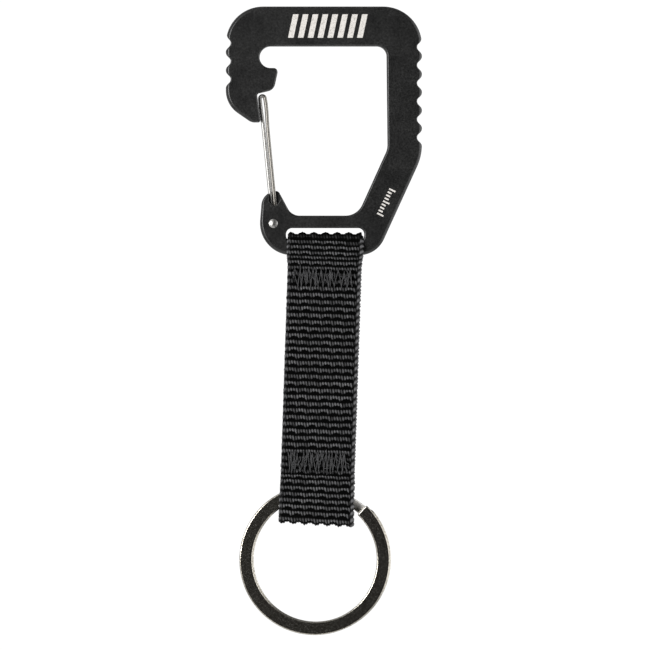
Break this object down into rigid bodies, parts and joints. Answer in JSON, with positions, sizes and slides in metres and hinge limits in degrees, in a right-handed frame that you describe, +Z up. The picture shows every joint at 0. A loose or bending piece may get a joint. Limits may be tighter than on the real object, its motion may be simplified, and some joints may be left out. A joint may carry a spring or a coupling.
{
  "type": "carabiner keyring",
  "caption": "Flat aluminium carabiner with a sprung wire gate, a sewn webbing strap on its lower bar, and a split ring in the strap's lower fold.",
  "frame": {"origin": "middle of the window's upper edge, the flat face that the carabiner hangs by, halfway through the plate", "axes": "+X to the right when the gate is on the left, +Y to the back, +Z up with the keyring hanging"},
  "size_m": [0.051, 0.0078, 0.1633],
  "materials": {
    "black_aluminium": "black anodised, satin",
    "stainless": "bright drawn wire",
    "webbing": "woven black nylon",
    "thread": "black polyester thread",
    "nickel": "nickel plated, slightly worn"
  },
  "bodies": {
    "frame": {"carabiner_frame": "black_aluminium", "gate_rivet": "stainless"},
    "gate": {"wire_gate": "stainless"},
    "strap_upper": {"webbing_upper": "webbing", "upper_bar_tack": "thread"},
    "strap_lower": {"webbing_lower": "webbing", "lower_bar_tack": "thread"},
    "ring_fold": {"webbing_fold": "webbing"},
    "ring": {"split_ring": "nickel"}
  },
  "joints": [
    {"name": "gate_hinge", "type": "hinge", "parent": "frame", "child": "gate", "pos_m": [-0.0134, 0, -0.0461], "axis": [0, 1, 0], "range_deg": [0, 24], "stiffness_Nm_per_rad": 0.03, "springref_deg": -20.05},
    {"name": "strap_swing", "type": "hinge", "parent": "frame", "child": "strap_upper", "pos_m": [0, 0, -0.05253], "axis": [0.9995, 0, -0.0332], "range_deg": [-125, 125]},
    {"name": "strap_bend", "type": "hinge", "parent": "strap_upper", "child": "strap_lower", "pos_m": [-0.00106, 0, -0.08451], "axis": [0.9995, 0, -0.0332], "range_deg": [-55, 55], "stiffness_Nm_per_rad": 0.003},
    {"name": "fold_bend", "type": "hinge", "parent": "strap_lower", "child": "ring_fold", "pos_m": [-0.00197, 0, -0.11199], "axis": [0.9995, 0, -0.0332], "range_deg": [-50, 50], "stiffness_Nm_per_rad": 0.002},
    {"name": "ring_turn", "type": "hinge", "parent": "ring_fold", "child": "ring", "pos_m": [-0.00271, 0, -0.13348], "axis": [0, 1, 0], "continuous": true}
  ]
}
